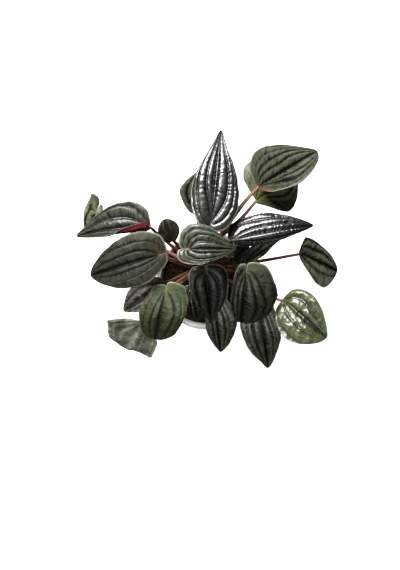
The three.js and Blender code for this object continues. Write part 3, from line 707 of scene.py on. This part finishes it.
class PEPEROMIA_OT_leaves(bpy.types.Operator):
    """Make the leaf blades: grooved and wrinkled above, wine red with raised veins below"""
    bl_idname = "object.peperomia_leaves"
    bl_label = "Leaves"

    TAN = (0.14, 0.075, 0.03)
    LIME = (0.13, 0.15, 0.025)
    # Each tone's roughness, mirror gleam and grain, its veins' colour as a share of its own (painted shade in
    # the grooves, except the faded tone's pale veins, which are its own colour), how dark its creases are
    # painted as shade, the colours of its patches and of the spot at its base, and where its rim starts and in
    # which colour (margin)
    USUAL_LOOK = dict(grain=0.8, crease_shade=0.8, patch=(1.08, 0.98, 0.9), spot=TAN, rim=0.945)
    LOOKS = {
        "dark": dict(roughness=0.24, gleam=1.0, vein=0.05, grain=0.5),
        "olive": dict(roughness=0.38, gleam=0.14, vein=0.05, grain=1.0, crease_shade=0.6),
        "green": dict(roughness=0.26, gleam=0.65, vein=0.25, grain=0.6, crease_shade=0.35, spot=LIME),
        "silver": dict(roughness=0.28, gleam=0.45, vein=0.05),
        "pale": dict(roughness=0.42, gleam=0.4, vein=0.42, spot=LIME),
        "faded": dict(roughness=0.42, gleam=0.35, vein=4.2, patch=(0.2, 0.26, 0.2), rim=0.91,
                      margin=(0.55, 0.56, 0.48)),
        "dusky": dict(roughness=0.22, gleam=0.9, vein=0.1, grain=0.6),
        "brown": dict(roughness=0.5, gleam=0.25, vein=0.75),
    }

    def execute(self, context):
        settings = context.scene.peperomia_leaves
        underside = underside_material(settings.underside)
        tops = {}
        for tone, look in self.LOOKS.items():
            look = {**self.USUAL_LOOK, "margin": settings.margin, **look}
            tops[tone] = blade_material(tone, getattr(settings, tone), look)
        for seed, leaf in enumerate(LEAVES):
            piece = build_leaf(leaf, seed, settings, (tops[leaf["tone"]], underside))
            finish_piece(piece, "leaf", [], f"leaf_{leaf['name']}")
        return {"FINISHED"}


# ---- Crown and petioles ----
TUBE_STEPS = 48


def petiole_points(leaf):
    """Start, two handles and end of the petiole, or the points that it goes through, in millimetres."""
    base, _, _, up, _ = blade_axes(leaf)
    direction = midrib(leaf, np.zeros(1))[1][0]
    normal = unit(up - direction * np.dot(direction, up))
    start = np.array(leaf.get("start", (CROWN[0], CROWN[1], CROWN[2] + PETIOLE_START)), float)
    spread = (base - start) * (1, 1, 0)
    if "start" not in leaf:
        start = start + unit(spread) * CROWN_RADIUS * 0.45
    arrival = unit(unit(base - start) + normal)
    end = base - normal * 0.3
    if "via" in leaf:
        return [start, *(np.array(place, float) for place in leaf["via"]), end]
    leaving = start + spread * 0.2
    leaving[2] = start[2] + (end[2] - start[2]) * 0.4
    arriving = end - arrival * 0.25 * np.linalg.norm(end - start)
    return [start, leaving, arriving, end]


def build_tube(name, points, free, radii, sides):
    """A smooth tapered tube: a Bezier curve with a round section, turned into a mesh. `free` says that the
    two inner points are the handles of one curve, and otherwise the curve goes through all the points."""
    bpy.ops.curve.primitive_bezier_curve_add()
    piece = new_piece(name)
    spline = piece.data.splines[0]
    places = [Vector(p) * MM for p in points]
    stops = (places[0], places[-1]) if free else places
    spline.bezier_points.add(len(stops) - 2)
    for i, (knot, stop) in enumerate(zip(spline.bezier_points, stops)):
        knot.handle_left_type = knot.handle_right_type = "FREE" if free else "AUTO"
        knot.co = stop
        knot.radius = radii[0] + (radii[1] - radii[0]) * i / (len(stops) - 1)
    if free:
        first, last = spline.bezier_points
        first.handle_left, first.handle_right, last.handle_left, last.handle_right = places
    curve = piece.data
    curve.dimensions = "3D"
    curve.resolution_u = TUBE_STEPS // (len(stops) - 1)
    curve.bevel_depth = MM
    curve.bevel_resolution = sides
    curve.use_fill_caps = True
    bpy.ops.object.convert(target="MESH")
    piece = bpy.context.object
    in_edit_mode(piece, lambda vertex: True)
    bpy.ops.mesh.remove_doubles(threshold=1e-6)
    bpy.ops.mesh.normals_make_consistent(inside=False)
    leave_edit_mode()
    near, far = (np.linalg.norm(coordinates(piece) - np.array(end) * MM, axis=1)
                 for end in (points[0], points[-1]))
    paint(piece, "along", near / (near + far))
    bpy.ops.object.shade_smooth()
    return piece


class PEPEROMIA_OT_stems(bpy.types.Operator):
    """Make the crown, the forked stem and a petiole up to each blade"""
    bl_idname = "object.peperomia_stems"
    bl_label = "Crown and petioles"

    LIGHTENING = {"tan": 1.3, "rose": 1.2, "russet": 1.3, "maroon": 1.3}
    CROWN_SIZE = (CROWN_RADIUS * 0.95, CROWN_RADIUS * 0.95, 9.5)
    CROWN_PLACE = (CROWN[0], CROWN[1], CROWN[2] - 1.5)

    def execute(self, context):
        settings = context.scene.peperomia_stems
        tones = {tone: stem_material(tone, getattr(settings, tone), lightening)
                 for tone, lightening in self.LIGHTENING.items()}
        self.crown(tones["maroon"])
        stem = build_tube("stem_forked", [CROWN, STEM_BEND, STEM_FORK], False,
                          (STEM_RADIUS * 1.2, STEM_RADIUS), settings.sides)
        finish_piece(stem, "stem", [tones["tan"]], "crown_and_petioles")
        for leaf in LEAVES:
            piece = build_tube(f"petiole_{leaf['name']}", petiole_points(leaf), "via" not in leaf,
                               (leaf["stout"], PETIOLE_TIP_RADIUS), settings.sides)
            finish_piece(piece, "stem", [tones[leaf["stalk"]]], "crown_and_petioles")
        return {"FINISHED"}

    def crown(self, material):
        """A short, knobbly trunk: a ball is stretched, and knobs are raised on it."""
        bpy.ops.mesh.primitive_uv_sphere_add(segments=48, ring_count=32, radius=1)
        piece = new_piece("crown")
        places = coordinates(piece)
        knobs = np.array([noise.noise(Vector(p) * 2.3) for p in places])
        fine = np.array([noise.noise(Vector(p) * 7.0) for p in places])
        places = places * (1 + 0.16 * knobs + 0.05 * fine)[:, None]
        places = places * self.CROWN_SIZE + self.CROWN_PLACE
        move_to(piece, places * MM)
        paint(piece, "along", np.zeros(len(places)))
        bpy.ops.object.shade_smooth()
        finish_piece(piece, "stem", [material], "crown_and_petioles")


# ---- Soil ----
SOIL_LUMPS = ((7, 3.0, 0.8), (2.6, 8.0, 0.7), (0.9, 5.0, 0.3))  # size, noise layer and height, in mm
SOIL_CRUMBS = 0.5  # the soil's level below its highest crumbs, in mm


def disc_places(square):
    """Points of a square from -1 to 1, spread evenly over a round disc of radius 1."""
    x, y = square[:, 0], square[:, 1]
    wide = np.abs(x) > np.abs(y)
    radius = np.where(wide, x, y)
    turn = np.where(wide, np.pi / 4 * y / np.where(wide, x, 1),
                    np.pi / 2 - np.pi / 4 * x / np.where(np.abs(y) < 1e-9, 1, y))
    turn = np.where(np.abs(radius) < 1e-9, 0, turn)
    return np.stack((radius * np.cos(turn), radius * np.sin(turn)), axis=1)


def soil_height(x, y):
    """Height of the soil's top, in millimetres over its level, at a place in millimetres."""
    return sum(height * noise.noise(Vector((x, y, layer)) / size) for size, layer, height in SOIL_LUMPS) - 0.9


class PEPEROMIA_OT_soil(bpy.types.Operator):
    """Make the soil: a plug in the pot with a crumbly top, and loose crumbs on it"""
    bl_idname = "object.peperomia_soil"
    bl_label = "Soil"

    GRID = 130
    RIM = 0.985
    RIM_DROP = 0.6 * MM
    BELOW_FOOT = 5 * MM
    CRUMB_LENGTHS = (1, 1, 1, 1.6, 2.6)
    PALE_SHARE = 0.4

    def execute(self, context):
        settings = context.scene.peperomia_soil
        material = soil_material(settings.damp, settings.dry)
        bpy.ops.mesh.primitive_grid_add(x_subdivisions=self.GRID, y_subdivisions=self.GRID, size=2)
        piece = new_piece("soil_plug")
        flat = disc_places(coordinates(piece))
        places = np.column_stack((flat * SOIL_RADIUS, np.full(len(flat), SOIL_TOP - SOIL_CRUMBS * MM)))
        heights = np.array([soil_height(*(p[:2] / MM)) for p in places]) * MM
        places[:, 2] += np.where(np.hypot(*flat.T) > self.RIM, -self.RIM_DROP, heights)
        move_to(piece, places)
        in_edit_mode(piece, lambda vertex: vertex.is_boundary)
        bpy.ops.mesh.extrude_edges_move(TRANSFORM_OT_translate={"value": (0, 0, SOIL_LOW.z - SOIL_TOP)})
        share = (context.scene.peperomia_pot.foot_radius - self.BELOW_FOOT) / SOIL_RADIUS
        bpy.ops.transform.resize(value=(share, share, 1), center_override=(0, 0, 0))
        bpy.ops.mesh.edge_face_add()
        bpy.ops.mesh.select_all(action="SELECT")
        bpy.ops.mesh.normals_make_consistent(inside=False)
        leave_edit_mode()
        paint(piece, "pale", np.zeros(len(piece.data.vertices)))
        bpy.ops.object.shade_smooth()
        finish_piece(piece, "soil", [material], "soil")
        self.crumbs(settings, material)
        return {"FINISHED"}

    def crumbs(self, settings, material):
        """One small lump is modelled and copied all over the top, each copy turned and sized by the draw."""
        draw = random.Random(settings.seed)
        bpy.ops.mesh.primitive_ico_sphere_add(subdivisions=2, radius=1)
        piece = new_piece("soil_crumbs")
        lump = coordinates(piece)
        faces = [list(face.vertices) for face in piece.data.polygons]
        places, shown, pale = [], [], []
        for _ in range(settings.crumbs):
            away = math.sqrt(draw.random()) * (SOIL_RADIUS / MM - 2)
            turn = draw.uniform(0, 2 * math.pi)
            x, y = away * math.cos(turn), away * math.sin(turn)
            size = 0.35 + 0.9 * draw.random() ** 2.5
            long = draw.choice(self.CRUMB_LENGTHS)
            turned = (Matrix.Rotation(draw.uniform(0, 6.28), 3, "Z")
                      @ Matrix.Rotation(draw.uniform(-0.4, 0.4), 3, "X"))
            rough = [1 + 0.35 * noise.noise(Vector(p) * 1.7 + Vector((turn * 9, x, y))) for p in lump]
            shape = lump * np.array(rough)[:, None] * (size * long, size, size * 0.7)
            shape = shape @ np.array(turned).T
            height = SOIL_TOP / MM - SOIL_CRUMBS + soil_height(x, y) + size * 0.15
            shown += [[i + len(places) for i in face] for face in faces]
            places += (shape + (x, y, height)).tolist()
            pale += [draw.random() ** 3 if draw.random() < self.PALE_SHARE else 0.0] * len(lump)
        piece.data.clear_geometry()
        piece.data.from_pydata([[c * MM for c in p] for p in places], [], shown)
        piece.data.update()
        paint(piece, "pale", pale)
        bpy.ops.object.shade_smooth()
        finish_piece(piece, "soil", [material], "soil")


# ---- Pot ----
class PEPEROMIA_OT_pot(bpy.types.Operator):
    """Make the pot: a tapered cup with a rounded rim and a flat foot"""
    bl_idname = "object.peperomia_pot"
    bl_label = "Pot"

    LIP_SHARE = 0.48
    TOUCH = 1e-5

    def execute(self, context):
        settings = context.scene.peperomia_pot
        bpy.ops.mesh.primitive_cone_add(vertices=settings.sides, radius1=settings.foot_radius,
                                        radius2=POT_RIM_RADIUS, depth=POT_HEIGHT,
                                        location=(0, 0, POT_HEIGHT / 2))
        piece = new_piece("pot_glazed")
        bpy.ops.object.transform_apply()
        in_edit_mode(piece, lambda vertex: vertex.co.z > POT_HEIGHT - self.TOUCH)
        bpy.ops.mesh.inset(thickness=settings.wall)
        depth = POT_HEIGHT - settings.floor
        bpy.ops.mesh.extrude_region_move(TRANSFORM_OT_translate={"value": (0, 0, -depth)})
        slope = (POT_RIM_RADIUS - settings.foot_radius) / POT_HEIGHT
        inner = POT_RIM_RADIUS - settings.wall
        share = (inner - slope * depth) / inner
        bpy.ops.transform.resize(value=(share, share, 1), center_override=(0, 0, settings.floor))
        leave_edit_mode()
        self.round_rim(piece, settings.wall * self.LIP_SHARE)
        only(piece)
        bpy.ops.object.shade_smooth_by_angle(angle=math.radians(30))
        finish_piece(piece, "pot", [glaze_material(settings.glaze)], "pot")
        return {"FINISHED"}

    def round_rim(self, piece, width):
        """Bevels the edges that lie at the top."""
        only(piece)
        bpy.ops.object.mode_set(mode="EDIT")
        bpy.ops.mesh.select_all(action="DESELECT")
        mesh = bmesh.from_edit_mesh(piece.data)
        for edge in mesh.edges:
            edge.select_set(all(vertex.co.z > POT_HEIGHT - self.TOUCH for vertex in edge.verts))
        bmesh.update_edit_mesh(piece.data)
        bpy.ops.mesh.bevel(offset=width, segments=8, affect="EDGES")
        leave_edit_mode()


# ---- Stage ----
class PEPEROMIA_OT_stage(bpy.types.Operator):
    """Set up the floor, the soft lights and the camera straight above"""
    bl_idname = "object.peperomia_stage"
    bl_label = "Stage"

    TARGET = Vector((0, 0.02, 0.1))
    # Each light's place, size and power
    LIGHTS = {
        "window": ((-0.25, 0.62, 0.8), (0.5, 0.3), 19),
        "fill": ((-0.1, -0.7, 0.9), (0.6, 0.5), 2.2),
        "side": ((-0.9, -0.25, 0.7), (0.4, 0.4), 2.0),
    }
    ROOM_LIGHT = 0.04

    def light(self, name, place, size, power):
        bpy.ops.object.light_add(type="AREA", location=place)
        lamp = bpy.context.object
        lamp.name = name
        lamp.data.shape = "RECTANGLE"
        lamp.data.size, lamp.data.size_y = size
        lamp.data.energy = power
        lamp.rotation_euler = (self.TARGET - lamp.location).to_track_quat("-Z", "Y").to_euler()
        lamp.visible_camera = False

    def execute(self, context):
        settings = context.scene.peperomia_stage
        bpy.ops.mesh.primitive_plane_add(size=40)
        floor = new_piece("floor")
        finish = Nodes("floor_white")
        grain = finish.between(finish.noise(3), 0.3, 0.7, 0.97, 1.0)
        finish.set(Base_Color=finish.mix(grain, times(settings.floor, 0.95), settings.floor), Roughness=0.8,
                   Emission_Color=(1, 1, 1), Emission_Strength=1.0)
        floor.data.materials.append(finish.material)
        floor.visible_glossy = floor.visible_diffuse = False

        world = bpy.data.worlds.new("soft_room")
        world.use_nodes = True
        background = world.node_tree.nodes["Background"]
        background.inputs["Color"].default_value = (1, 1, 1, 1)
        background.inputs["Strength"].default_value = self.ROOM_LIGHT
        context.scene.world = world
        for name, light in self.LIGHTS.items():
            self.light(name, *light)

        bpy.ops.object.camera_add(location=settings.camera)
        camera = bpy.context.object
        camera.name = "camera_above"
        camera.data.sensor_width = 36
        camera.data.lens = settings.lens
        camera.data.clip_start = 0.01
        context.scene.camera = camera
        context.scene.view_settings.view_transform = "Standard"
        return {"FINISHED"}


# ---- Panel and registration ----
class PEPEROMIA_PT_panel(bpy.types.Panel):
    """Lists the pieces of the plant and their settings"""
    bl_label = "Potted Peperomia"
    bl_idname = "PEPEROMIA_PT_panel"
    bl_space_type = "VIEW_3D"
    bl_region_type = "UI"
    bl_category = "Peperomia"

    def draw(self, context):
        for name, _, operator in PIECES:
            box = self.layout.box()
            box.operator(operator.bl_idname)
            settings = getattr(context.scene, name)
            for setting in settings.__annotations__:
                box.prop(settings, setting)


PIECES = (
    ("peperomia_pot", PEPEROMIA_PG_pot, PEPEROMIA_OT_pot),
    ("peperomia_soil", PEPEROMIA_PG_soil, PEPEROMIA_OT_soil),
    ("peperomia_stems", PEPEROMIA_PG_stems, PEPEROMIA_OT_stems),
    ("peperomia_leaves", PEPEROMIA_PG_leaves, PEPEROMIA_OT_leaves),
    ("peperomia_stage", PEPEROMIA_PG_stage, PEPEROMIA_OT_stage),
)


def register():
    for name, group, operator in PIECES:
        bpy.utils.register_class(group)
        setattr(bpy.types.Scene, name, PointerProperty(type=group))
        bpy.utils.register_class(operator)
    bpy.utils.register_class(PEPEROMIA_PT_panel)


def unregister():
    bpy.utils.unregister_class(PEPEROMIA_PT_panel)
    for name, group, operator in reversed(PIECES):
        bpy.utils.unregister_class(operator)
        delattr(bpy.types.Scene, name)
        bpy.utils.unregister_class(group)


def main():
    register()
    deselect()
    bpy.ops.object.peperomia_pot()
    bpy.ops.object.peperomia_soil()
    bpy.ops.object.peperomia_stems()
    bpy.ops.object.peperomia_leaves()
    bpy.ops.object.peperomia_stage()


if __name__ == "__main__":
    main()
